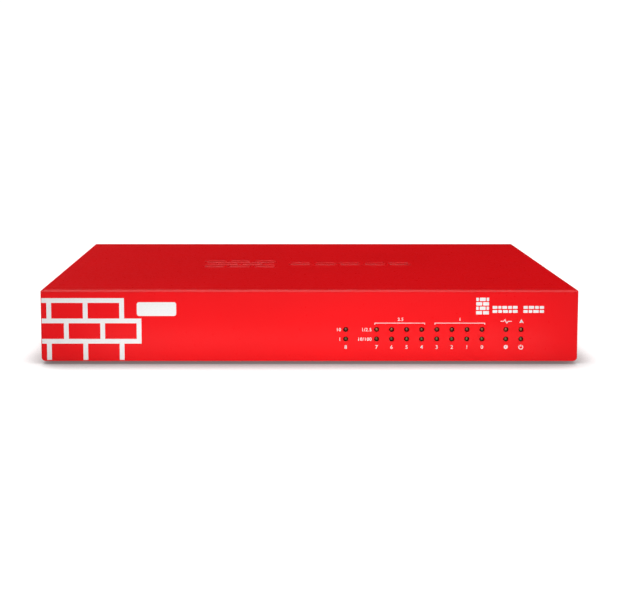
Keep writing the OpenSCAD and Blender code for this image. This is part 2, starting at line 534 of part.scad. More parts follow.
module fan_motor(y) {
  color("#b3763a") translate([fan_x0, y, fan_z]) difference() {
    union() { cyx(7, fan_t - 2.5, 0, 0, 3); cyx(8.4, fan_t - 4, 0, 0, 9.4); }
    cyx(6, fan_t, 0, 0, 1 + e);
    for (a = [0:40:320]) rotate([a, 0, 0]) bx(8, fan_t - 3, -0.8, 0.8, 4.6, 10);
  }
}
module fan_screws() {
  color("#c9ccd0") for (y = fan_y, a = [-1, 1], b = [-1, 1])
    translate([fan_x1 + 1, y + a * fan_hole, fan_z + b * fan_hole]) rotate([0, 90, 0]) pan_screw(1.5, 2.8, 1.4, 9);
}
// Leads of the fans, from the frames' outer sides to the board plugs
lead_1 = [[151, fan_y[0] - 20, fan_z], [151, fan_y[0] - 23, fan_z], [148.6, -65, 25], [142, -67.6, 26], [134, -68, 25.6], [128.8, -68, 23.6], [127, -68, 21], [127, -68, zb + 7.6]];
lead_2 = [[151, fan_y[1] + 20, fan_z], [151, fan_y[1] + 23, fan_z], [148.6, 33, 25], [142, 37.2, 26], [134, 38, 25.6], [128.8, 38, 23.6], [127, 38, 21], [127, 38, zb + 7.6]];
module fan_cables() { color("#c21f24") { tube(smooth(lead_1, 4), 1.15, [0.2, 0.1, 1]); tube(smooth(lead_2, 4), 1.15, [0.2, -0.1, 1]); } }
module fan_plugs() { color("#e8e6df") for (y = [-68, 38]) union() { bx(122, 132, y - 2.9, y + 2.9, zb, zb + 3.4); bx(122.8, 131.2, y - 2.3, y + 2.3, zb + 3.3, zb + 7.6); } }

// ---- indicators ----
module led_holders() { color("#1b1c1e") for (x = led_x) bx(x - 2.6, x + 2.6, fy + 5, fy + 12.5, zb, led_z[1] + 2.6); }
module indicator_lamps() {
  color("#9db36a") for (x = led_x, z = led_z) translate([x, fy + 5, z]) rotate([90, 0, 0]) union() {
    cylinder(h = 5 - led_r - 0.5, r = led_r);
    translate([0, 0, 5 - led_r - 0.5]) sphere(led_r);
  }
}

top_cover();
base_pan();
rear_panel();
rubber_feet();
cover_screws();
panel_screws();
rating_label();
main_board();
board_standoffs();
board_screws();
processor();
thermal_pad();
heat_sink();
heat_sink_screws();
memory_socket();
memory_module();
memory_chips();
storage_socket();
storage_module();
storage_screw();
battery_holder();
coin_cell();
network_chips();
capacitors();
inductors();
sfp_cage();
sfp_connector();
sfp_gasket();
jack_shell(x_lan_a, 4);  // lan_shell_a
jack_shell(x_lan_b, 4);  // lan_shell_b
jack_body(x_lan_a, 4);  // lan_body_a
jack_body(x_lan_b, 4);  // lan_body_b
jack_shell(x_con, 1);  // console_shell
jack_body(x_con, 1);  // console_body
jack_contacts();
usb_shell();
usb_insulator();
dc_jack();
dc_pin();
switch_housing();
power_rocker();
switch_terminals();
switch_cable();
switch_plug();
reset_button();
reset_switch();
ground_screw();
ground_washer();
fan_bracket();
fan_frame(fan_y[0]);  // fan_1_frame
fan_rotor(fan_y[0]);  // fan_1_rotor
fan_motor(fan_y[0]);  // fan_1_motor
fan_frame(fan_y[1]);  // fan_2_frame
fan_rotor(fan_y[1]);  // fan_2_rotor
fan_motor(fan_y[1]);  // fan_2_motor
fan_screws();
fan_cables();
fan_plugs();
led_holders();
indicator_lamps();
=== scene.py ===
import bpy, bmesh, json, math, random
from mathutils import Matrix, Vector


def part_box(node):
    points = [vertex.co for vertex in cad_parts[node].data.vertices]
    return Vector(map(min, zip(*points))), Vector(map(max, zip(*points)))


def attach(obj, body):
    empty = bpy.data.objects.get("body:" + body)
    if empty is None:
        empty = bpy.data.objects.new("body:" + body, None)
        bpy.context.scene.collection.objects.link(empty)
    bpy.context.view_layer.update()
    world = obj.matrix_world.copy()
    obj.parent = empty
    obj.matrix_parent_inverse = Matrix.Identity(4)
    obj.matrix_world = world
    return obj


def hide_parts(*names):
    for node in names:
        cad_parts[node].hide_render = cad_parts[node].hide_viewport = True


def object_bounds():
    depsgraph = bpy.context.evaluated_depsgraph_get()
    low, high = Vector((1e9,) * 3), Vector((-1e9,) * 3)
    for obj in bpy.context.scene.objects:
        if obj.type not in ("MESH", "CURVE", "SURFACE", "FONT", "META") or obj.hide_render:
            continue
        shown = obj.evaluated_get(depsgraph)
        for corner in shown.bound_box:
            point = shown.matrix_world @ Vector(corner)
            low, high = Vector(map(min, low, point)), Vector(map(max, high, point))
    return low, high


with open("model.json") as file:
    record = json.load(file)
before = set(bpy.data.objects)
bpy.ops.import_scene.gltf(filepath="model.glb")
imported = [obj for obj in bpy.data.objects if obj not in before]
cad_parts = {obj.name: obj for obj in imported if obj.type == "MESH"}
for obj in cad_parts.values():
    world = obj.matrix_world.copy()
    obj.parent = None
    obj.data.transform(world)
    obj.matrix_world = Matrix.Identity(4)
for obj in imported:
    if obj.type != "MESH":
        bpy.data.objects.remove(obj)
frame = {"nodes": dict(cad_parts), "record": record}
CAD_LO, CAD_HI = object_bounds()
NODES, ROOT = frame["nodes"], "chassis"
MM = 0.001
scene = bpy.context.scene


def box_mm(node):
    lo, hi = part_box(node)
    return [v / MM for v in lo], [v / MM for v in hi]


# ------------------------------------------------------------------ materials
class Nodes:
    """A material's node tree with short calls."""

    def __init__(self, name):
        self.mat = bpy.data.materials.new(name)
        self.mat.use_nodes = True
        self.t = self.mat.node_tree
        self.t.nodes.clear()
        self.out = self.t.nodes.new("ShaderNodeOutputMaterial")
        self.bsdf = self.t.nodes.new("ShaderNodeBsdfPrincipled")
        self.t.links.new(self.bsdf.outputs[0], self.out.inputs[0])
        self.co = self.t.nodes.new("ShaderNodeTexCoord").outputs["Object"]

    def link(self, a, b):
        self.t.links.new(a, b)

    def put(self, socket, value):
        if isinstance(value, bpy.types.NodeSocket):
            self.link(value, socket)
        elif value is not None:
            socket.default_value = value

    def scaled(self, sx, sy=None, sz=None, rot=(0, 0, 0)):
        n = self.t.nodes.new("ShaderNodeMapping")
        n.inputs["Scale"].default_value = (sx, sx if sy is None else sy, sx if sz is None else sz)
        n.inputs["Rotation"].default_value = rot
        self.link(self.co, n.inputs["Vector"])
        return n.outputs[0]

    def noise(self, scale, detail=3.0, rough=0.5, vec=None, distort=0.0):
        n = self.t.nodes.new("ShaderNodeTexNoise")
        n.inputs["Scale"].default_value = scale
        n.inputs["Detail"].default_value = detail
        n.inputs["Roughness"].default_value = rough
        n.inputs["Distortion"].default_value = distort
        self.link(vec or self.co, n.inputs["Vector"])
        return n.outputs[0]

    def voronoi(self, scale, feature="F1", out="Distance", vec=None, random_=1.0):
        n = self.t.nodes.new("ShaderNodeTexVoronoi")
        n.feature = feature
        n.inputs["Scale"].default_value = scale
        n.inputs["Randomness"].default_value = random_
        self.link(vec or self.co, n.inputs["Vector"])
        return n.outputs[out]

    def wave(self, scale, axis="X", vec=None, distort=0.0, kind="BANDS"):
        n = self.t.nodes.new("ShaderNodeTexWave")
        n.wave_type = kind
        if kind == "BANDS":
            n.bands_direction = axis
        else:
            n.rings_direction = axis
        n.inputs["Scale"].default_value = scale
        n.inputs["Distortion"].default_value = distort
        self.link(vec or self.co, n.inputs["Vector"])
        return n.outputs["Fac"]

    def math(self, op, a, b=0.0, c=0.0, clamp=False):
        n = self.t.nodes.new("ShaderNodeMath")
        n.operation, n.use_clamp = op, clamp
        for s, v in zip(n.inputs, (a, b, c)):
            self.put(s, v)
        return n.outputs[0]

    def ramp(self, fac, *stops):
        n = self.t.nodes.new("ShaderNodeValToRGB")
        e = n.color_ramp.elements
        while len(e) > len(stops):
            e.remove(e[-1])
        while len(e) < len(stops):
            e.new(0.5)
        for k, (p, c) in zip(e, stops):
            k.position = p
            k.color = (*c, 1) if len(c) == 3 else c
        self.link(fac, n.inputs[0])
        return n.outputs[0]

    def mix(self, fac, a, b):
        n = self.t.nodes.new("ShaderNodeMix")
        n.data_type = "RGBA"
        self.put(n.inputs[0], fac)
        for s, v in ((n.inputs[6], a), (n.inputs[7], b)):
            if isinstance(v, bpy.types.NodeSocket):
                self.link(v, s)
            else:
                s.default_value = (*v, 1)
        return n.outputs[2]

    def range(self, fac, lo, hi, a=0.0, b=1.0):
        n = self.t.nodes.new("ShaderNodeMapRange")
        self.put(n.inputs[0], fac)
        for k, v in zip(n.inputs[1:5], (a, b, lo, hi)):
            k.default_value = v
        return n.outputs[0]

    def xyz(self):
        n = self.t.nodes.new("ShaderNodeSeparateXYZ")
        self.link(self.co, n.inputs[0])
        return n.outputs

    def bump(self, height, strength=0.3, distance=0.0002, under=None):
        n = self.t.nodes.new("ShaderNodeBump")
        n.inputs["Strength"].default_value = strength
        n.inputs["Distance"].default_value = distance
        self.link(height, n.inputs["Height"])
        if under is not None:
            self.link(under, n.inputs["Normal"])
        return n.outputs[0]

    def done(self, base, rough, metal=0.0, spec=0.5, normal=None, **more):
        b = self.bsdf.inputs
        if isinstance(base, bpy.types.NodeSocket):
            self.link(base, b["Base Color"])
        else:
            b["Base Color"].default_value = (*base, 1)
        self.put(b["Roughness"], rough)
        b["Metallic"].default_value = metal
        b["Specular IOR Level"].default_value = spec
        if normal is not None:
            self.link(normal, b["Normal"])
        for k, v in more.items():
            b[k.replace("_", " ")].default_value = v
        return self.mat


MAT = {}


def coat_paint():
    m = Nodes("red_powder_coat")
    grain = m.noise(620, 3, 0.55)
    fine = m.noise(2600, 2, 0.6)
    cloud = m.noise(9, 3, 0.5)
    colour = m.mix(m.range(cloud, 0.0, 1.0, 0.35, 0.65), PAINT_A, PAINT_B)
    colour = m.mix(m.range(fine, 0.0, 0.22, 0.45, 0.8), colour, PAINT_C)
    n = m.bump(grain, 0.16, 0.00012)
    n = m.bump(fine, 0.10, 0.00005, n)
    return m.done(colour, m.range(grain, 0.27, 0.36, 0.3, 0.7), 0.0, 0.11, n)


PAINT_A, PAINT_B, PAINT_C = (0.735, 0.0014, 0.0042), (0.775, 0.0018, 0.0052), (0.705, 0.0012, 0.0038)
MAT["red_paint"] = coat_paint()


def ink():
    m = Nodes("white_ink")
    g = m.noise(1800, 3, 0.6)
    return m.done(m.mix(m.range(g, 0, 1, 0.3, 0.7), (0.72, 0.72, 0.72), (0.78, 0.78, 0.78)), m.range(g, 0.42, 0.55), 0.0, 0.2, m.bump(g, 0.12, 0.00004))


def plain(name, a, b, rough=(0.4, 0.55), grain=900, metal=0.0, spec=0.4, strength=0.15, dist=0.0001, **more):
    """A moulded or cast surface: two close colours in a soft cloud, and a fine grain in bump and roughness."""
    m = Nodes(name)
    g = m.noise(grain, 3, 0.55)
    c = m.noise(grain * 0.06, 3, 0.5)
    base = m.mix(m.range(c, 0, 1, 0.35, 0.65), a, b)
    return m.done(base, m.range(g, rough[0], rough[1], 0.3, 0.7), metal, spec, m.bump(g, strength, dist), **more)


def brushed(name, a, b, rough=(0.24, 0.4), along=(30, 2600, 2600), strength=0.12, spec=0.5):
    """Drawn or rolled metal: long fine scratches along one axis over a soft cloud."""
    m = Nodes(name)
    line = m.noise(1.0, 3, 0.5, m.scaled(*along))
    c = m.noise(45, 3, 0.5)
    base = m.mix(m.range(line, 0, 1, 0.25, 0.75), a, b)
    base = m.mix(m.range(c, 0.0, 0.22, 0.4, 0.7), base, tuple(v * 0.86 for v in a))
    return m.done(base, m.range(line, rough[0], rough[1], 0.25, 0.75), 1.0, spec, m.bump(line, strength, 0.00002))


def turned(name, a, b, rough=(0.18, 0.34)):
    m = Nodes(name)
    g = m.noise(3200, 3, 0.6)
    c = m.noise(140, 3, 0.5)
    base = m.mix(m.range(c, 0, 1, 0.3, 0.7), a, b)
    return m.done(base, m.range(g, rough[0], rough[1], 0.3, 0.7), 1.0, 0.5, m.bump(g, 0.10, 0.00002))


def board_mask(name, mask_a, mask_b, trace, cell=1.0):
    """Solder mask over copper: routed traces, filled copper areas and tinned vias."""
    m = Nodes(name)
    xy = m.scaled(1, 1, 0.001)
    zone = m.voronoi(32 * cell, "F1", "Color", xy)
    sep = m.t.nodes.new("ShaderNodeSeparateColor")
    m.link(zone, sep.inputs[0])
    wx, wy = m.wave(160 * cell, "X", xy), m.wave(160 * cell, "Y", xy)
    wd = m.wave(160 * cell, "DIAGONAL", xy)
    pick = m.math("GREATER_THAN", sep.outputs[0], 0.45)
    pick2 = m.math("GREATER_THAN", sep.outputs[1], 0.7)
    w = m.mix(pick, wx, wy)
    w = m.mix(pick2, w, wd)
    line = m.range(w, 0, 1, 0.78, 0.9)
    fill = m.math("GREATER_THAN", m.noise(26 * cell, 2, 0.4, xy), 0.56)
    copper = m.math("MAXIMUM", line, fill, clamp=True)
    via = m.math("LESS_THAN", m.voronoi(330 * cell, "F1", "Distance", xy), 0.16)
    base = m.mix(copper, mask_a, mask_b)
    base = m.mix(via, base, trace)
    n = m.bump(copper, 0.25, 0.00004)
    n = m.bump(m.noise(1400, 2, 0.5), 0.05, 0.00003, n)
    return m.done(base, m.range(copper, 0.34, 0.26), 0.0, 0.5, n)


def heat_black():
    m = Nodes("black_anodised")
    line = m.noise(1.0, 4, 0.6, m.scaled(22, 2400, 2400))
    return m.done(m.mix(m.range(line, 0, 1, 0.3, 0.7), (0.020, 0.021, 0.024), (0.045, 0.046, 0.05)), m.range(line, 0.3, 0.46, 0.3, 0.7), 0.65, 0.5, m.bump(line, 0.2, 0.00005))


def rubber():
    m = Nodes("foot_rubber")
    g = m.noise(1500, 4, 0.65)
    ring = m.voronoi(900, "F1")
    n = m.bump(g, 0.35, 0.0001)
    n = m.bump(ring, 0.12, 0.0001, n)
    return m.done(m.mix(m.range(g, 0, 1, 0.3, 0.7), (0.014, 0.014, 0.0145), (0.03, 0.03, 0.031)), m.range(g, 0.62, 0.8), 0.0, 0.3, n)


def processor():
    m = Nodes("processor_package")
    x, y, z = m.xyz()
    top = m.math("GREATER_THAN", z, 0.01205)
    sub = m.mix(m.range(m.noise(700, 3), 0, 1, 0.3, 0.7), (0.012, 0.07, 0.035), (0.02, 0.10, 0.05))
    die = m.mix(m.range(m.noise(90, 3), 0, 1, 0.3, 0.7), (0.40, 0.41, 0.43), (0.52, 0.53, 0.55))
    return m.done(m.mix(top, sub, die), m.range(top, 0.45, 0.3), 0.0, 0.5, m.bump(m.noise(1500, 3), 0.1, 0.00004))


def lens():
    m = Nodes("lamp_lens")
    x, y, z = m.xyz()
    # an unlit smoked lens: the crown is painted pale, partly the die behind it and partly a painted glint, amber in the
    # upper row and green in the lower
    g = m.noise(420, 2, 0.5)
    # painted glint: the forward-facing crown of each lens is painted in the pale die colour
    crown_glint = m.range(y, 1.0, 0.0, -0.10145, -0.10095)
    upper = m.math("GREATER_THAN", z, 0.0186)
    die = m.mix(upper, (0.10, 0.115, 0.018), (0.26, 0.085, 0.012))
    die = m.mix(m.range(g, 0.0, 0.75, 0.4, 0.62), die, (0.055, 0.010, 0.004))
    base = m.mix(crown_glint, (0.010, 0.004, 0.003), die)
    return m.done(base, m.range(g, 0.14, 0.22), 0.0, 0.5, m.bump(g, 0.05, 0.00003), Coat_Weight=0.3, Coat_Roughness=0.1)


def paper():
    m = Nodes("label_film")
    f = m.noise(1.0, 3, 0.6, m.scaled(900, 2400, 900))
    return m.done(m.mix(m.range(f, 0, 1, 0.3, 0.7), (0.80, 0.80, 0.79), (0.86, 0.86, 0.85)), m.range(f, 0.42, 0.55), 0.0, 0.35, m.bump(f, 0.08, 0.00003))


def copper():
    m = Nodes("motor_copper")
    w = m.wave(1400, "X", None, 0.4)
    return m.done(m.mix(w, (0.30, 0.10, 0.035), (0.62, 0.26, 0.10)), m.range(w, 0.42, 0.25), 1.0, 0.5, m.bump(w, 0.4, 0.00008))


def coin():
    m = Nodes("coin_steel")
    g = m.noise(1.0, 4, 0.6, m.scaled(60, 1800, 1800))
    return m.done(m.mix(m.range(g, 0, 1, 0.3, 0.7), (0.60, 0.61, 0.62), (0.74, 0.75, 0.76)), m.range(g, 0.22, 0.38), 1.0, 0.5, m.bump(g, 0.1, 0.00003))


def can():
    m = Nodes("capacitor_can")
    x, y, z = m.xyz()
    base_part = m.math("LESS_THAN", z, 0.01142)
    g = m.noise(900, 3)
    alu = m.mix(m.range(g, 0, 1, 0.3, 0.7), (0.55, 0.56, 0.58), (0.68, 0.69, 0.71))
    return m.done(m.mix(base_part, alu, (0.02, 0.02, 0.022)), m.range(g, 0.25, 0.36), 0.85, 0.5, m.bump(g, 0.1, 0.00004))


def card(name, a, b, edge_axis, edge_lo, edge_hi):
    """A plug-in card: solder mask, with gold fingers along one edge."""
    m = Nodes(name)
    xyz = m.xyz()
    along = m.math("MULTIPLY", m.math("GREATER_THAN", xyz[edge_axis], edge_lo), m.math("LESS_THAN", xyz[edge_axis], edge_hi))
    comb = m.math("GREATER_THAN", m.wave(640, "X" if edge_axis == 1 else "Y"), 0.45)
    gold = m.math("MULTIPLY", along, comb)
    tr = m.range(m.wave(420, "Y" if edge_axis == 1 else "X", None, 3.0), 0, 1, 0.7, 0.9)
    base = m.mix(gold, m.mix(tr, a, b), (0.80, 0.55, 0.15))
    return m.done(base, 0.34, 0.0, 0.5, m.bump(tr, 0.15, 0.00003))


MAT.update(
    foot_rubber=rubber(),
    black_screw=plain("black_oxide", (0.010, 0.010, 0.011), (0.028, 0.028, 0.030), (0.3, 0.46), 1600, 0.75, 0.5, 0.2, 0.00005),
    zinc_screw=turned("zinc_plate", (0.56, 0.58, 0.60), (0.68, 0.70, 0.73)),
    label_film=paper(),
    board_laminate=board_mask("board_laminate", (0.006, 0.055, 0.026), (0.012, 0.115, 0.05), (0.42, 0.40, 0.34)),
    brass_post=turned("brass_post", (0.55, 0.38, 0.13), (0.76, 0.56, 0.24)),
    processor_package=processor(),
    thermal_compound=plain("thermal_compound", (0.30, 0.31, 0.33), (0.38, 0.39, 0.41), (0.6, 0.75), 1200),
    black_anodised=heat_black(),
    black_moulding=plain("black_moulding", (0.011, 0.011, 0.012), (0.020, 0.020, 0.022), (0.42, 0.56), 1500, 0.0, 0.45, 0.14, 0.00006),
    module_green=card("module_green", (0.008, 0.085, 0.042), (0.016, 0.15, 0.07), 1, -0.0285, -0.024),
    module_blue=card("module_blue", (0.006, 0.012, 0.05), (0.012, 0.03, 0.11), 0, -0.0935, -0.089),
    chip_epoxy=plain("chip_epoxy", (0.012, 0.012, 0.0125), (0.022, 0.022, 0.023), (0.5, 0.66), 2400, 0.0, 0.4, 0.2, 0.00004),
    coin_steel=coin(),
    capacitor_can=can(),
    tin_plate=brushed("tin_plate", (0.56, 0.565, 0.57), (0.64, 0.645, 0.65), (0.24, 0.34), (2600, 120, 5200), 0.08),
    gold_contact=turned("gold_contact", (0.72, 0.46, 0.12), (0.90, 0.64, 0.24), (0.16, 0.26)),
    blue_moulding=plain("blue_moulding", (0.006, 0.045, 0.30), (0.010, 0.065, 0.38), (0.4, 0.52), 1300, 0.0, 0.45),
    plated_pin=turned("plated_pin", (0.62, 0.60, 0.54), (0.80, 0.78, 0.72)),
    rocker_black=plain("rocker_black", (0.009, 0.009, 0.010), (0.016, 0.016, 0.017), (0.30, 0.42), 1700, 0.0, 0.5, 0.1, 0.00005),
    black_wire=plain("black_wire", (0.012, 0.012, 0.012), (0.024, 0.024, 0.025), (0.36, 0.5), 700),
    red_wire=plain("red_wire", (0.34, 0.006, 0.008), (0.46, 0.012, 0.014), (0.36, 0.5), 700),
    nylon_plug=plain("nylon_plug", (0.66, 0.64, 0.56), (0.74, 0.72, 0.65), (0.38, 0.52), 900, 0.0, 0.45, 0.12, 0.00008, Subsurface_Weight=0.06),
    button_white=plain("button_white", (0.68, 0.68, 0.66), (0.76, 0.76, 0.745), (0.34, 0.46), 1200),
    zinc_bracket=brushed("zinc_bracket", (0.20, 0.21, 0.22), (0.28, 0.29, 0.305), (0.32, 0.44), (2400, 60, 2400), 0.1),
    fan_black=plain("fan_black", (0.012, 0.012, 0.013), (0.022, 0.022, 0.024), (0.36, 0.5), 1300),
    motor_copper=copper(),
    lamp_lens=lens(),
)
INK = ink()
slot_of = {s["node"]: s["material_slot"] for s in frame["record"]["subparts"]}
for name, obj in NODES.items():
    obj.data.materials.clear()
    obj.data.materials.append(MAT[slot_of[name]])


# ------------------------------------------------------------------ mesh helpers
def keep(name, me, mat, body=ROOT, smooth=False, angle=None):
    me.materials.clear()
    me.materials.append(mat)
    o = bpy.data.objects.new(name, me)
    scene.collection.objects.link(o)
    if smooth:
        me.shade_smooth()
        if angle:
            me.set_sharp_from_angle(angle=math.radians(angle))
    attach(o, body)
    return o


def from_bm(name, bm, mat, body=ROOT, smooth=False, angle=None):
    bmesh.ops.recalc_face_normals(bm, faces=bm.faces)
    me = bpy.data.meshes.new(name)
    bm.to_mesh(me)
    bm.free()
    o = keep(name, me, mat, body, smooth, angle)
    return o


def add_box(bm, lo, hi, r=0.0, seg=2):
    """A box with rounded edges, in millimetres."""
    own = bmesh.new() if r > 0 else bm
    c = [own.verts.new([(hi[i] if (k >> i) & 1 else lo[i]) * MM for i in range(3)]) for k in range(8)]
    for f in ((0, 2, 3, 1), (4, 5, 7, 6), (0, 1, 5, 4), (2, 6, 7, 3), (0, 4, 6, 2), (1, 3, 7, 5)):
        own.faces.new([c[k] for k in f])
    if r > 0:
        bmesh.ops.bevel(own, geom=own.edges[:], offset=r * MM, segments=seg, affect="EDGES", profile=0.5, clamp_overlap=True)
        me = bpy.data.meshes.new("box")
        own.to_mesh(me)
        own.free()
        bm.from_mesh(me)
        bpy.data.meshes.remove(me)


def add_lathe(bm, profile, place, seg=40, close=True):
    """profile: (radius, along) in mm, turned about local +Z, then placed by a matrix in metres."""
    rings = []
    for r, h in profile:
        if r <= 1e-6:
            rings.append([bm.verts.new(place @ Vector((0, 0, h * MM)))])
        else:
            rings.append([bm.verts.new(place @ Vector((r * MM * math.cos(a), r * MM * math.sin(a), h * MM))) for a in (2 * math.pi * k / seg for k in range(seg))])
    for a, b in zip(rings, rings[1:]):
        for k in range(seg):
            k2 = (k + 1) % seg
            if len(a) == 1 and len(b) == 1:
                continue
            if len(a) == 1:
                bm.faces.new((a[0], b[k], b[k2]))
            elif len(b) == 1:
                bm.faces.new((a[k], a[k2], b[0]))
            else:
                bm.faces.new((a[k], a[k2], b[k2], b[k]))


def at(x, y, z, rx=0, ry=0, rz=0):
    return Matrix.Translation((x * MM, y * MM, z * MM)) @ Matrix.Rotation(math.radians(rz), 4, "Z") @ Matrix.Rotation(math.radians(ry), 4, "Y") @ Matrix.Rotation(math.radians(rx), 4, "X")


# ------------------------------------------------------------------ flat prints
def loops_to_mesh(loops, place, thick=0.03):
    """Closed outlines in mm, filled even-odd and given the thickness of an ink film."""
    cu = bpy.data.curves.new("print", "CURVE")
    cu.dimensions, cu.fill_mode, cu.extrude = "2D", "BOTH", thick * MM / 2
    for pts in loops:
        sp = cu.splines.new("POLY")
        sp.points.add(len(pts) - 1)
        for p, q in zip(sp.points, pts):
            p.co = (q[0] * MM, q[1] * MM, 0, 1)
        sp.use_cyclic_u = True
    o = bpy.data.objects.new("print", cu)
    scene.collection.objects.link(o)
    bpy.context.view_layer.update()
    me = bpy.data.meshes.new_from_object(o.evaluated_get(bpy.context.evaluated_depsgraph_get()))
    bpy.data.objects.remove(o)
    bpy.data.curves.remove(cu)
    me.transform(place @ Matrix.Translation((0, 0, thick * MM / 2)))
    return me


def text_to_mesh(body, height, place, bold=0.012, thick=0.03, align="CENTER"):
    """Numerals, scaled so that a plain digit has this height in mm."""
    cu = bpy.data.curves.new("num", "FONT")
    cu.body, cu.size, cu.offset = body, 1.0, bold
    cu.align_x, cu.align_y, cu.resolution_u = align, "BOTTOM_BASELINE", 3
    cu.space_character = 1.10
    cu.extrude = 0.0
    o = bpy.data.objects.new("num", cu)
    scene.collection.objects.link(o)
    bpy.context.view_layer.update()
    me = bpy.data.meshes.new_from_object(o.evaluated_get(bpy.context.evaluated_depsgraph_get()))
    bpy.data.objects.remove(o)
    bpy.data.curves.remove(cu)
    k = height * MM / DIGIT
    bm = bmesh.new()
    bm.from_mesh(me)
    bpy.data.meshes.remove(me)
    bmesh.ops.remove_doubles(bm, verts=bm.verts, dist=1e-6)
    bmesh.ops.transform(bm, matrix=Matrix.Diagonal((k, k, k, 1)), verts=bm.verts)
    bmesh.ops.translate(bm, vec=(0, -height * MM / 2, 0), verts=bm.verts)
    r = bmesh.ops.extrude_face_region(bm, geom=list(bm.faces))
    bmesh.ops.translate(bm, vec=(0, 0, thick * MM), verts=[g for g in r["geom"] if isinstance(g, bmesh.types.BMVert)])
    bmesh.ops.transform(bm, matrix=place, verts=bm.verts)
    bmesh.ops.recalc_face_normals(bm, faces=bm.faces)
    me = bpy.data.meshes.new("num")
    bm.to_mesh(me)
    bm.free()
    return me


def digit_height():
    cu = bpy.data.curves.new("num", "FONT")
    cu.body, cu.size = "0", 1.0
    o = bpy.data.objects.new("num", cu)
    scene.collection.objects.link(o)
    bpy.context.view_layer.update()
    me = bpy.data.meshes.new_from_object(o.evaluated_get(bpy.context.evaluated_depsgraph_get()))
    ys = [v.co.y for v in me.vertices]
    bpy.data.objects.remove(o)
    bpy.data.curves.remove(cu)
    bpy.data.meshes.remove(me)
    return max(ys) - min(ys)


DIGIT = digit_height()
FRONT, REAR = CAD_LO.y / MM, 98.0
F = lambda x, z: at(x, FRONT, z, 90)                     # reads from the front
R = lambda x, z, y=None: at(x, REAR if y is None else y, z, 90, 0, 180)  # reads from the rear


def join(name, meshes, mat, body=ROOT):
    bm = bmesh.new()
    for me in meshes:
        bm.from_mesh(me)
        bpy.data.meshes.remove(me)
    return from_bm(name, bm, mat, body)


def rrect(cx, cz, w, h, r, n=5, tilt=0.0):
    pts = []
    for sx, sz, a0 in ((1, 1, 0), (-1, 1, 90), (-1, -1, 180), (1, -1, 270)):
        for k in range(n + 1):
            a = math.radians(a0 + 90 * k / n)
            pts.append((sx * (w / 2 - r) + r * math.cos(a), sz * (h / 2 - r) + r * math.sin(a)))
    c, s = math.cos(math.radians(tilt)), math.sin(math.radians(tilt))
    return [(cx + x * c - z * s, cz + x * s + z * c) for x, z in pts]


def circle(cx, cz, r, n=28):
    return [(cx + r * math.cos(2 * math.pi * k / n), cz + r * math.sin(2 * math.pi * k / n)) for k in range(n)]


def stroke(path, w):
    """The outline of an open path drawn with a pen of width w, with mitred corners."""
    left, right = [], []
    for i, p in enumerate(path):
        a = Vector(path[max(i - 1, 0)])
        b = Vector(path[min(i + 1, len(path) - 1)])
        p = Vector(p)
        d0 = (p - a).normalized() if i > 0 else (b - p).normalized()
        d1 = (b - p).normalized() if i < len(path) - 1 else d0
        n0, n1 = Vector((-d0.y, d0.x)), Vector((-d1.y, d1.x))
        m = (n0 + n1).normalized()
        k = w / 2 / max(m.dot(n0), 0.4)
        left.append(tuple(p + m * k))
        right.append(tuple(p - m * k))
    return left + right[::-1]


def arc(cx, cz, r, a0, a1, n=20):
    return [(cx + r * math.cos(math.radians(a0 + (a1 - a0) * k / n)), cz + r * math.sin(math.radians(a0 + (a1 - a0) * k / n))) for k in range(n + 1)]


def power_icon(x, z, r=1.25, w=0.42):
    return [stroke(arc(x, z, r, 125, 415), w), rrect(x, z + r * 0.72, w, r * 1.15, w / 2 * 0.9, 3)]


def gear_icon(x, z, r=1.3, teeth=8):
    out = []
    for k in range(teeth):
        a = 360 / teeth * k
        for da, rr in ((-13, r), (13, r), (15, r * 0.72), (30, r * 0.72)):
            t = math.radians(a + da)
            out.append((x + rr * math.cos(t), z + rr * math.sin(t)))
    return [out, circle(x, z, r * 0.33, 16)]


def alert_icon(x, z, s=1.6, w=0.36):
    tri = [(x + s * math.cos(math.radians(a)), z - 0.25 * s + s * math.sin(math.radians(a))) for a in (90, 210, 330)]
    k = 1 - w * 2 / s
    inner = [(x + s * k * math.cos(math.radians(a)), z - 0.25 * s + s * k * math.sin(math.radians(a))) for a in (90, 210, 330)]
    return [tri, inner, rrect(x, z - 0.02, w * 0.8, s * 0.5, 0.1, 3), circle(x, z - 0.25 * s - 0.3, w * 0.42, 10)]


def pulse_icon(x, z, w=0.4):
    return [stroke([(x - 3.4, z), (x - 1.5, z), (x - 0.75, z + 1.05), (x + 0.35, z - 1.15), (x + 1.15, z), (x + 3.4, z)], w)]


# legends on the front
LED_Z = (15.6, 21.5)
LED_X = [22.2] + [41 + 9.2 * i for i in range(8)] + [120.0, 129.2]
art = []
for x, d in zip(LED_X[:9], "876543210"):
    art.append(text_to_mesh(d, 2.3, F(x, 10.7)))
for x, z, t in ((19.3, 21.5, "10"), (19.3, 15.6, "1"), (38.0, 21.5, "1/2.5"), (38.0, 15.6, "10/100")):
    art.append(text_to_mesh(t, 2.0, F(x, z), align="RIGHT"))
art.append(text_to_mesh("2.5", 1.9, F(55.6, 27.9)))
art.append(text_to_mesh("1", 1.9, F(91.8, 27.9)))
lines = []
for a, b in ((39.7, 70.5), (76.4, 107.1)):
    lines.append([(a, 25.66), (b, 25.66), (b, 24.6), (b - 0.32, 24.6), (b - 0.32, 25.33), (a + 0.32, 25.33), (a + 0.32, 24.6), (a, 24.6)])
icons = pulse_icon(120, 26.6) + alert_icon(129.3, 26.7) + gear_icon(120, 10.7) + power_icon(129.2, 10.6)
art.append(loops_to_mesh(lines + icons, F(0, 0)))
front_legends = join("front_legends", art, INK)

# brick wall pictogram at the left: white joints, cut off by the case's edges
COURSE, JOINT, BRICK = 12.6, 2.9, 22.2
TOP, LEFT, LOW = 40.9, -163.3, 2.7
ends = [-113.0, -102.5, -113.0]


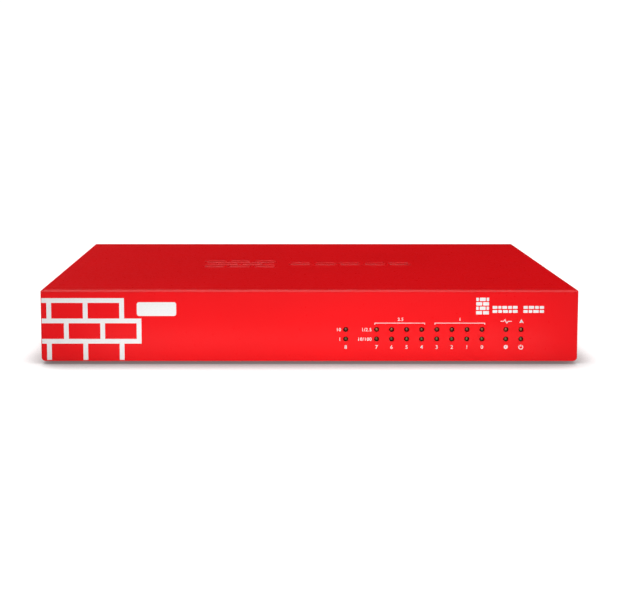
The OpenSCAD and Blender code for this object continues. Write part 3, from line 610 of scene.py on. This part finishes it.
def wall_cells():
    """The joints as separate clean strips, so that no brick outline touches the wall's own outline."""
    strips = []
    for k, xe in enumerate(ends):
        top = TOP - COURSE * k
        reach = max(xe, ends[k - 1] if k else xe)
        strips.append([(LEFT, top - JOINT), (reach, top - JOINT), (reach, top), (LEFT, top)])
        lo = TOP - COURSE * (k + 1) if k < len(ends) - 1 else LOW
        x = xe
        while x - JOINT > LEFT:
            strips.append([(x - JOINT, lo), (x, lo), (x, top - JOINT), (x - JOINT, top - JOINT)])
            x -= BRICK
    return strips


graphic = [loops_to_mesh([c], F(0, 0)) for c in wall_cells()]
graphic.append(loops_to_mesh([rrect(-93.2, 34.15, 24.0, 8.5, 1.4)], F(0, 0)))
front_graphic = join("front_graphic", graphic, INK)

# small mark at the upper right: a wall of little bricks and two plain courses of dashes
mark = []
for k in range(4):
    z = 31.9 + 2.75 * k
    xs = ((101.6, 105.2), (105.8, 109.4)) if k % 2 == 0 else ((101.6, 103.1), (103.7, 107.3), (107.9, 109.4))
    for a, b in xs:
        mark.append(rrect((a + b) / 2, z, b - a, 2.1, 0.3, 3))
for a0, widths in ((111.6, (2.9, 1.8, 2.9, 2.3, 2.9)), (130.4, (2.6, 3.3, 2.2, 2.6))):
    x = a0
    for i, w in enumerate(widths):
        mark.append(rrect(x + w / 2, 35.2, w, 1.75, 0.25, 3))
        x += w + 0.6
    end = x - 0.6
    x = a0
    for i, w in enumerate(widths[::-1]):
        mark.append(rrect(x + w / 2, 32.7, w, 1.75, 0.25, 3))
        x += w + 0.6
front_mark = join("front_mark", [loops_to_mesh(mark, F(0, 0))], INK)

# ------------------------------------------------------------------ pressed beads round the bricks on the top
def add_bead(bm, pts, w, h, z, seg=6):
    """A closed half-round bead along an outline in mm, standing on height z."""
    n, rings = len(pts), []
    for k in range(n):
        a, p, b = Vector(pts[k - 1]), Vector(pts[k]), Vector(pts[(k + 1) % n])
        t = (b - a).normalized()
        out = Vector((t.y, -t.x))
        rings.append([bm.verts.new(((p.x + out.x * w / 2 * math.cos(q)) * MM, (p.y + out.y * w / 2 * math.cos(q)) * MM, (z + h * math.sin(q)) * MM)) for q in (math.pi * i / seg for i in range(seg + 1))])
    for k in range(n):
        a, b = rings[k], rings[(k + 1) % n]
        for i in range(seg + 1):
            i2 = (i + 1) % (seg + 1)
            bm.faces.new((a[i], a[i2], b[i2], b[i]))


bm = bmesh.new()
places = [(-46 + (i - 1 + (row % 2) / 2) * 17.2, (row - 1) * 9.4 - 2) for row in range(3) for i in range(3 - row % 2)] + [(-4 + i * 17.2, -2) for i in range(5)]
for cx, cy in places:
    add_bead(bm, rrect(cx, cy, 15.0, 7.2, 1.5, 5), 1.1, 0.62, 45.97)
top_beads = from_bm("top_relief_beads", bm, MAT["red_paint"], smooth=True, angle=60)

# ------------------------------------------------------------------ rear panel
def reset_icon(x, z, r=1.25, w=0.36):
    a = arc(x, z, r, 93, 350, 18)
    t = math.radians(60)
    tip = (x + r * math.cos(t), z + r * math.sin(t))
    return [stroke(a, w), [(tip[0] - 0.85, tip[1] + 0.75), (tip[0] - 0.55, tip[1] - 0.75), (tip[0] + 0.85, tip[1] - 0.25)]]


def ground_icon(x, z, w=0.36):
    return [rrect(x, z + 0.9, w, 1.6, 0.1, 2), rrect(x, z + 0.05, 3.2, w, 0.12, 2), rrect(x, z - 0.65, 2.1, w, 0.12, 2), rrect(x, z - 1.35, 1.0, w, 0.12, 2)]


def lock_icon(x, z, w=0.36):
    return [rrect(x, z - 0.6, 2.5, 1.9, 0.3, 3), stroke([(x - 0.75, z + 0.35)] + arc(x, z + 0.75, 0.75, 180, 0, 8) + [(x + 0.75, z + 0.35)], w)]


def prompt_icon(x, z, w=0.4):
    return [stroke([(x - 1.5, z + 1.0), (x - 0.4, z), (x - 1.5, z - 1.0)], w), rrect(x + 1.0, z - 1.0, 1.6, w, 0.15, 2)]


def plug_icon(x, z):
    return [rrect(x, z - 0.55, 2.3, 2.2, 0.35, 3), rrect(x - 0.6, z + 1.05, 0.5, 1.0, 0.1, 2), rrect(x + 0.6, z + 1.05, 0.5, 1.0, 0.1, 2)]


def polarity_icon(x, z, w=0.34):
    """Centre-positive inlet: minus, sleeve, pin, plus."""
    return [rrect(x - 4.4, z, 1.6, w, 0.1, 2), stroke([(x - 3.4, z), (x - 1.5, z)], w * 0.8), stroke(arc(x, z, 1.45, 40, 320, 18), w), circle(x, z, 0.62, 16),
            stroke([(x + 0.62, z), (x + 3.3, z)], w * 0.8), rrect(x + 4.4, z, 1.6, w, 0.1, 2), rrect(x + 4.4, z + 0.5, w, 0.62, 0.1, 2), rrect(x + 4.4, z - 0.5, w, 0.62, 0.1, 2)]


BOARD = box_mm("main_board")[1][2]
LAN_X = [12 + (1.5 - i) * 13.97 for i in range(4)] + [-52 + (1.5 - i) * 13.97 for i in range(4)]
# the icons are drawn as seen from the rear, so their X runs the other way
rear_icons = prompt_icon(-72, 27.4) + plug_icon(-52, 29.1) + reset_icon(-90, 19.9) + polarity_icon(-133, 25.4) + ground_icon(-152, 21.6) + lock_icon(-152, 28.6)
rear_art = [loops_to_mesh([loop], R(0, 0)) for loop in rear_icons]
for i, x in enumerate(LAN_X):
    rear_art.append(text_to_mesh(str(i), 2.3, R(x, 27.2)))
rear_art.append(text_to_mesh("8", 2.3, R(-96, 24.2)))
rear_legends = join("rear_legends", rear_art, INK)

# lamp windows in the upper corners of each jack
FACE = box_mm("lan_shell_a")[1][1]


def window(name, a, b):
    m = Nodes(name)
    g = m.noise(900, 2, 0.5)
    return m.done(m.mix(m.range(g, 0, 1, 0.3, 0.7), a, b), m.range(g, 0.16, 0.26), 0.0, 0.5, m.bump(g, 0.08, 0.00003), Coat_Weight=0.25, Coat_Roughness=0.1)


for name, off, mat in (("jack_lamps_link", 4.9, window("unlit_green", (0.10, 0.26, 0.09), (0.16, 0.36, 0.13))), ("jack_lamps_activity", -4.9, window("unlit_amber", (0.42, 0.23, 0.04), (0.55, 0.32, 0.07)))):
    bm = bmesh.new()
    for x in LAN_X:
        add_box(bm, (x + off - 1.35, FACE - 0.05, BOARD + 10.75), (x + off + 1.35, FACE + 0.14, BOARD + 12.55), 0.09, 2)
    from_bm(name, bm, mat)

# contact pads on the tongues of the two lower-speed sockets
bm = bmesh.new()
for z in (BOARD + 3.75, BOARD + 11.45):
    for dx in (-3.5, -1.0, 1.0, 3.5):
        add_box(bm, (52 + dx - 0.5, FACE - 9.5, z + 0.13), (52 + dx + 0.5, FACE - 2.0, z + 0.30), 0.05, 1)
usb_pads = from_bm("usb_contact_pads", bm, MAT["gold_contact"])

# ------------------------------------------------------------------ rocker, moulded with dished faces and soft edges
PIV = Matrix.Translation((0.108, 0.094982, 0.022)) @ Matrix.Rotation(math.radians(-10), 4, "X")
line = lambda z: 4.9 + 0.1689 * abs(z)
prof = []
for k in range(7):
    t = math.radians(-72.8 + (72.8 - 47.1) * k / 6)          # lower end, along the 8.8 mm sweep
    prof.append((8.8 * math.cos(t), 8.8 * math.sin(t)))
for k in range(1, 9):
    z = -6.447 * (1 - k / 8)
    prof.append((line(z) - 0.34 * math.sin(math.pi * k / 8), z))
for k in range(1, 9):
    z = 6.447 * k / 8
    prof.append((line(z) - 0.34 * math.sin(math.pi * k / 8), z))
for k in range(1, 7):
    t = math.radians(47.1 + (72.8 - 47.1) * k / 6)
    prof.append((8.8 * math.cos(t), 8.8 * math.sin(t)))
prof += [(-3, 2.5), (-3, -2.5)]
bm = bmesh.new()
lo_v = [bm.verts.new((-4.8 * MM, y * MM, z * MM)) for y, z in prof]
hi_v = [bm.verts.new((4.8 * MM, y * MM, z * MM)) for y, z in prof]
bm.faces.new(lo_v)
bm.faces.new(hi_v[::-1])
for k in range(len(prof)):
    k2 = (k + 1) % len(prof)
    bm.faces.new((lo_v[k], lo_v[k2], hi_v[k2], hi_v[k]))
bmesh.ops.recalc_face_normals(bm, faces=bm.faces)
sharp = [e for e in bm.edges if len(e.link_faces) == 2 and e.calc_face_angle(0) > math.radians(22)]
bmesh.ops.bevel(bm, geom=sharp, offset=0.34 * MM, segments=3, affect="EDGES", profile=0.5, clamp_overlap=True)
add_lathe(bm, [(0, -6.0), (1.2, -6.0), (1.4, -5.8), (1.4, 5.8), (1.2, 6.0), (0, 6.0)], Matrix.Rotation(math.radians(90), 4, "Y"), 32)
bmesh.ops.transform(bm, matrix=PIV, verts=bm.verts)
rocker = from_bm("rocker_cap", bm, MAT["rocker_black"], "rocker", True, 40)
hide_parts("power_rocker")


def on_rocker(z, face):
    """On the upper (+1) or lower (-1) face, reading from the rear."""
    return PIV @ Matrix.Translation((0, (line(z) - 0.30) * MM, z * MM)) @ Matrix.Rotation(math.radians(-9.58 * face), 4, "X") @ Matrix.Rotation(math.pi, 4, "Z") @ Matrix.Rotation(math.pi / 2, 4, "X")


marks = [loops_to_mesh([rrect(0, 0, 0.5, 2.5, 0.15, 3)], on_rocker(3.3, 1)), loops_to_mesh([circle(0, 0, 1.3, 32), circle(0, 0, 0.88, 32)], on_rocker(-3.3, -1))]
rocker_marks = join("rocker_marks", marks, INK, "rocker")

# ------------------------------------------------------------------ fans: rotors with curved blades
def add_blade(bm, turn, r0=11.0, r1=18.2, nr=6, nu=9):
    def mean(u, v):
        r = r0 + (r1 - r0) * v
        ang = turn + math.radians((42 - 7 * v) * u ** 1.28 + 9 * v * v)
        return Vector((3.7 + 11.6 * u, r * math.cos(ang), r * math.sin(ang)))
    rings = []
    for j in range(nr + 1):
        v = j / nr
        side = {1: [], -1: []}
        for i in range(nu + 1):
            u = 0.5 - 0.5 * math.cos(math.pi * i / nu)
            d = 1e-3
            n = (mean(min(u + d, 1), v) - mean(max(u - d, 0), v)).cross(mean(u, min(v + d, 1)) - mean(u, max(v - d, 0))).normalized()
            th = (1.15 - 0.4 * v) * 0.5 * (0.22 + 0.78 * math.sin(math.pi * u) ** 0.5 if 0 < i < nu else 0.22)
            for s_ in (1, -1):
                side[s_].append(mean(u, v) + n * th * s_)
        rings.append([bm.verts.new(p * MM) for p in side[1] + side[-1][::-1]])
    for a, b in zip(rings, rings[1:]):
        m_ = len(a)
        for k in range(m_):
            bm.faces.new((a[k], a[(k + 1) % m_], b[(k + 1) % m_], b[k]))
    bm.faces.new(rings[0])
    bm.faces.new(rings[-1][::-1])


for name, body, node in (("front_fan_rotor", "fan_front", "fan_1_rotor"), ("rear_fan_rotor", "fan_rear", "fan_2_rotor")):
    cy, cz = (-38.0 if node == "fan_1_rotor" else 4.4), 24.2
    place = at(140.4, cy, cz)
    bm = bmesh.new()
    hub = [(0, 2.6), (6.2, 2.6), (6.5, 2.85), (6.8, 2.6), (10.1, 2.6), (10.75, 2.78), (11.22, 3.25), (11.4, 3.9), (11.4, 16.5), (11.1, 16.8), (10.3, 16.8), (10.3, 6.4), (9.9, 6.0), (1.9, 6.0), (1.3, 6.6), (1.0, 7.2), (1.0, 15.7), (0.7, 16.0), (0, 16.0)]
    add_lathe(bm, hub, Matrix.Rotation(math.radians(90), 4, "Y"), 56)
    for k in range(7):
        add_blade(bm, 2 * math.pi * k / 7)
    bmesh.ops.transform(bm, matrix=place, verts=bm.verts)
    rotor = from_bm(name, bm, MAT["fan_black"], body, True, 38)
    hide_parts(node)
    # the hub's own plain disc label
    bm = bmesh.new()
    add_lathe(bm, [(0, 2.50), (5.6, 2.50), (5.8, 2.58), (5.8, 2.66), (0, 2.66)], place @ Matrix.Rotation(math.radians(90), 4, "Y"), 40)
    from_bm(name + "_disc", bm, MAT["zinc_bracket"], body, True, 30)

# ------------------------------------------------------------------ the board's small parts
rng = random.Random(41)
stand = [(-148, -88), (-148, 0), (-148, 80), (-30, -84), (75, -80), (133, -82), (133, 0), (133, 74), (60, 62), (-18, 62), (-75, 5)]
taken = [(-104.5, -87.5, 24, 41), (-66, -42, 22, 46), (94.5, 116.5, 13.5, 35.5), (27, 63, -28, 8), (18, 133, -97.5, -88)]
taken += [(x - 6, x + 6, 58, 70) for x in (-74, -44, 8, 34)] + [(91.5, 102.5, y - 5.5, y + 5.5) for y in (-34, -21, -8, 5)]
taken += [(x - 4, x + 4, y - 4, y + 4) for x, y in stand] + [(45 + a - 3.4, 45 + a + 3.4, -10 + b - 3.4, -10 + b + 3.4) for a in (-34, 34) for b in (-28, 28)]
for node in ("memory_socket", "storage_socket", "storage_module", "storage_screw", "battery_holder", "sfp_cage", "lan_shell_a", "lan_shell_b", "console_shell", "usb_shell", "dc_jack", "reset_switch", "switch_housing", "switch_plug", "switch_terminals"):
    lo, hi = box_mm(node)
    taken.append((lo[0], hi[0], lo[1], hi[1]))
taken += [(120, 134, -74, -62), (120, 134, 32, 44), (104, 112, 48, 80)]
TOPZ = BOARD


def free(x0, x1, y0, y1, gap=0.9):
    if x0 < -152 or x1 > 136 or y0 < -96 or y1 > 93:
        return False
    return all(x1 + gap < a or x0 - gap > b or y1 + gap < c or y0 - gap > d for a, b, c, d in taken)


def claim(w, h, tries=200, region=(-150, 134, -94, 76)):
    for _ in range(tries):
        x = round(rng.uniform(region[0], region[1] - w) * 2) / 2
        y = round(rng.uniform(region[2], region[3] - h) * 2) / 2
        if free(x, x + w, y, y + h):
            taken.append((x, x + w, y, y + h))
            return x, y
    return None


body_bm, lead_bm, can_bm, ring_bm = bmesh.new(), bmesh.new(), bmesh.new(), []
# gull-wing and square packages
for k in range(20):
    w, h, pins, t = rng.choice(((5.0, 4.0, 4, 1.5), (10.0, 4.0, 8, 1.6), (7.0, 7.0, 7, 1.1), (5.0, 5.0, 5, 0.9), (3.0, 3.0, 3, 0.9)))
    spot = claim(w + 2.4, h + 2.4)
    if not spot:
        continue
    x, y = spot[0] + 1.2, spot[1] + 1.2
    add_box(body_bm, (x, y, TOPZ + 0.1), (x + w, y + h, TOPZ + t), 0.16, 2)
    pitch = (w - 0.7) / max(pins - 1, 1)
    for i in range(pins):
        px_ = x + 0.35 + i * pitch
        for s_ in (0, 1):
            a, b = (y - 0.85, y + 0.1) if s_ == 0 else (y + h - 0.1, y + h + 0.85)
            add_box(lead_bm, (px_ - 0.17, a, TOPZ), (px_ + 0.17, b if s_ else b, TOPZ + 0.16))
            add_box(lead_bm, (px_ - 0.17, y - 0.32 if s_ == 0 else y + h, TOPZ + 0.1), (px_ + 0.17, y if s_ == 0 else y + h + 0.32, TOPZ + t * 0.5))
    ring_bm.append((x + w / 2, y + h / 2, w + 2.2, h + 2.2, (x + 0.6, y + 0.6)))
# crystals in drawn cans
for k in range(4):
    spot = claim(6.4, 4.4)
    if spot:
        x, y = spot
        add_box(can_bm, (x + 0.3, y + 0.3, TOPZ), (x + 6.1, y + 4.1, TOPZ + 0.3), 0.1, 1)
        add_box(can_bm, (x + 0.7, y + 0.7, TOPZ + 0.2), (x + 5.7, y + 3.7, TOPZ + 1.5), 0.5, 3)
# rows of two-ended chips
tan_bm, dark_bm = bmesh.new(), bmesh.new()
for k in range(120):
    n = rng.choice((2, 3, 4, 5, 6, 8))
    L, W, T = rng.choice(((1.6, 0.8, 0.5), (1.0, 0.5, 0.4), (2.0, 1.25, 0.8)))
    pitch = W + 0.75
    upright = rng.random() < 0.5
    bw, bh = (n * pitch, L) if not upright else (L, n * pitch)
    spot = claim(bw, bh, 60)
    if not spot:
        continue
    dark = rng.random() < 0.5
    for i in range(n):
        if upright:
            x0, y0, x1, y1 = spot[0], spot[1] + i * pitch, spot[0] + L, spot[1] + i * pitch + W
            e0, e1 = (x0, y0, x0 + L * 0.22, y1), (x1 - L * 0.22, y0, x1, y1)
            mid = (x0 + L * 0.2, y0 + 0.02, x1 - L * 0.2, y1 - 0.02)
        else:
            x0, y0, x1, y1 = spot[0] + i * pitch, spot[1], spot[0] + i * pitch + W, spot[1] + L
            e0, e1 = (x0, y0, x1, y0 + L * 0.22), (x0, y1 - L * 0.22, x1, y1)
            mid = (x0 + 0.02, y0 + L * 0.2, x1 - 0.02, y1 - L * 0.2)
        for q in (e0, e1):
            add_box(lead_bm, (q[0], q[1], TOPZ), (q[2], q[3], TOPZ + T), 0.05, 1)
        add_box(dark_bm if dark else tan_bm, (mid[0], mid[1], TOPZ + 0.02), (mid[2], mid[3], TOPZ + T - 0.02))
from_bm("board_packages", body_bm, MAT["chip_epoxy"])
from_bm("board_terminals", lead_bm, MAT["tin_plate"])
from_bm("board_crystals", can_bm, MAT["tin_plate"])
from_bm("board_resistors", dark_bm, MAT["chip_epoxy"])
from_bm("board_ceramics", tan_bm, plain("ceramic_tan", (0.30, 0.19, 0.10), (0.42, 0.28, 0.16), (0.4, 0.55), 1800))
# white outlines round the packages
prints = []
for cx, cy, w, h, dot in ring_bm:
    prints.append(loops_to_mesh([rrect(cx, cy, w, h, 0.2, 2), rrect(cx, cy, w - 0.36, h - 0.36, 0.15, 2)], at(0, 0, TOPZ), 0.02))
for x0, x1, y0, y1 in ((-104.5, -87.5, 24, 41), (-66, -42, 22, 46)) + tuple((x - 6, x + 6, 58, 70) for x in (-74, -44, 8, 34)) + tuple((92, 102, y - 5, y + 5) for y in (-34, -21, -8, 5)):
    cx, cy, w, h = (x0 + x1) / 2, (y0 + y1) / 2, x1 - x0 + 1.6, y1 - y0 + 1.6
    prints.append(loops_to_mesh([rrect(cx, cy, w, h, 0.3, 2), rrect(cx, cy, w - 0.4, h - 0.4, 0.2, 2)], at(0, 0, TOPZ), 0.02))
board_outlines = join("board_outlines", prints, INK)

# the label under the case: an empty ruled form
lo, hi = box_mm("rating_label")
LBL = Matrix.Translation((0, 0, lo[2] * MM)) @ Matrix.Rotation(math.pi, 4, "X")
forms = []
for cx, cy, w, h in ((10, 52, 90, 38), (-12, 60, 40, 16), (32, 60, 38, 16)):
    forms.append(loops_to_mesh([rrect(cx, cy, w, h, 0.8, 3), rrect(cx, cy, w - 0.7, h - 0.7, 0.5, 3)], LBL, 0.015))
for k in range(5):
    forms.append(loops_to_mesh([rrect(10, 37.5 + k * 2.9, 82, 0.35, 0.1, 2)], LBL, 0.015))
label_rules = join("label_rules", forms, plain("label_ink", (0.02, 0.02, 0.02), (0.04, 0.04, 0.04), (0.5, 0.6), 2000))

# ------------------------------------------------------------------ camera, light and floor
cam = bpy.data.objects.new("camera", bpy.data.cameras.new("camera"))
scene.collection.objects.link(cam)
scene.camera = cam
cam.data.sensor_width, cam.data.sensor_fit, cam.data.lens = 36.0, "HORIZONTAL", 65.17
cam.data.shift_x, cam.data.shift_y = 0.0432, -0.18
cam.location = (-0.0157, -0.7777, 0.1693)
cam.rotation_euler = (math.radians(90 - 4.997), 0, 0)
cam.data.clip_start, cam.data.clip_end = 0.05, 100

scene.view_settings.view_transform = "Standard"
scene.view_settings.look = "None"
world = bpy.data.worlds.new("studio")
scene.world = world
world.use_nodes = True
wt = world.node_tree
wt.nodes.clear()
wo = wt.nodes.new("ShaderNodeOutputWorld")
mixn = wt.nodes.new("ShaderNodeMixShader")
seen, lit = wt.nodes.new("ShaderNodeBackground"), wt.nodes.new("ShaderNodeBackground")
path = wt.nodes.new("ShaderNodeLightPath")
sky = wt.nodes.new("ShaderNodeTexCoord")
sep = wt.nodes.new("ShaderNodeSeparateXYZ")
lift = wt.nodes.new("ShaderNodeMapRange")
wt.links.new(sky.outputs["Generated"], sep.inputs[0])
wt.links.new(sep.outputs[2], lift.inputs[0])
for k, v in zip(lift.inputs[1:5], (0.34, 0.9, 0.003, 0.36)):
    k.default_value = v
lit.inputs[0].default_value = (1, 1, 1, 1)
wt.links.new(lift.outputs[0], lit.inputs[1])
seen.inputs[0].default_value, seen.inputs[1].default_value = (1, 1, 1, 1), 1.02
wt.links.new(path.outputs["Is Camera Ray"], mixn.inputs[0])
wt.links.new(lit.outputs[0], mixn.inputs[1])
wt.links.new(seen.outputs[0], mixn.inputs[2])
wt.links.new(mixn.outputs[0], wo.inputs[0])


def sun(name, frm, power, angle):
    """A very large soft light a long way off, so that the whole floor is lit alike."""
    d = bpy.data.lights.new(name, "SUN")
    d.energy, d.angle = power, math.radians(angle)
    o = bpy.data.objects.new(name, d)
    scene.collection.objects.link(o)
    o.location = frm
    o.rotation_euler = (-Vector(frm)).to_track_quat("-Z", "Y").to_euler()
    return o


def softbox(name, loc, aim, power, w, h):
    d = bpy.data.lights.new(name, "AREA")
    d.energy, d.shape, d.size, d.size_y = power, "RECTANGLE", w, h
    o = bpy.data.objects.new(name, d)
    scene.collection.objects.link(o)
    o.location = loc
    o.rotation_euler = (Vector(aim) - Vector(loc)).to_track_quat("-Z", "Y").to_euler()
    o.visible_camera = False
    return o


softbox("front_softbox", (0.020, -0.40, 0.045), (0.01, -0.10, 0.012), 0.33, 0.24, 0.08).visible_glossy = False
softbox("low_strip", (0.008, -0.150, 0.005), (0.008, -0.102, 0.007), 0.037, 0.30, 0.006).visible_glossy = False
sun("overhead_softbox", (-0.10, 0.12, 1.0), 1.27, 28)
sun("overhead_strip", (0.08, -0.62, 1.0), 5.0, 58).visible_diffuse = False
sun("back_softbox", (-0.6, 1.0, 0.7), 1.35, 40).visible_glossy = False
sun("side_softbox", (1.0, 0.15, 0.45), 0.95, 40)

floor_me = bpy.data.meshes.new("floor")
S = 40.0
floor_me.from_pydata([(-S, -S, 0), (S, -S, 0), (S, S, 0), (-S, S, 0)], [], [(0, 1, 2, 3)])
floor = bpy.data.objects.new("floor", floor_me)
scene.collection.objects.link(floor)
fm = Nodes("pale_floor")
g = fm.noise(35, 3, 0.5)
fm.done(fm.mix(fm.range(g, 0, 1, 0.3, 0.7), (0.325, 0.325, 0.325), (0.335, 0.335, 0.335)), 0.85, 0.0, 0.0)
# painted contact shadow: the floor glows, and ambient occlusion darkens that glow next to and under the case
shade = fm.t.nodes.new("ShaderNodeAmbientOcclusion")
shade.samples, shade.inside, shade.only_local = 12, False, False
shade.inputs["Distance"].default_value = 0.027
floor_glow_painted_shadow = fm.t.nodes.new("ShaderNodeValToRGB")
e = floor_glow_painted_shadow.color_ramp.elements
e[0].position, e[0].color = 0.20, (0.12, 0.12, 0.12, 1)
e[1].position, e[1].color = 0.97, (0.90, 0.90, 0.90, 1)
for p, v in ((0.48, 0.23), (0.65, 0.37), (0.82, 0.72)):
    k = e.new(p)
    k.color = (v, v, v, 1)
fm.link(shade.outputs["AO"], floor_glow_painted_shadow.inputs[0])
fm.link(floor_glow_painted_shadow.outputs[0], fm.bsdf.inputs["Emission Color"])
fm.bsdf.inputs["Emission Strength"].default_value = 1.0
floor_me.materials.append(fm.mat)
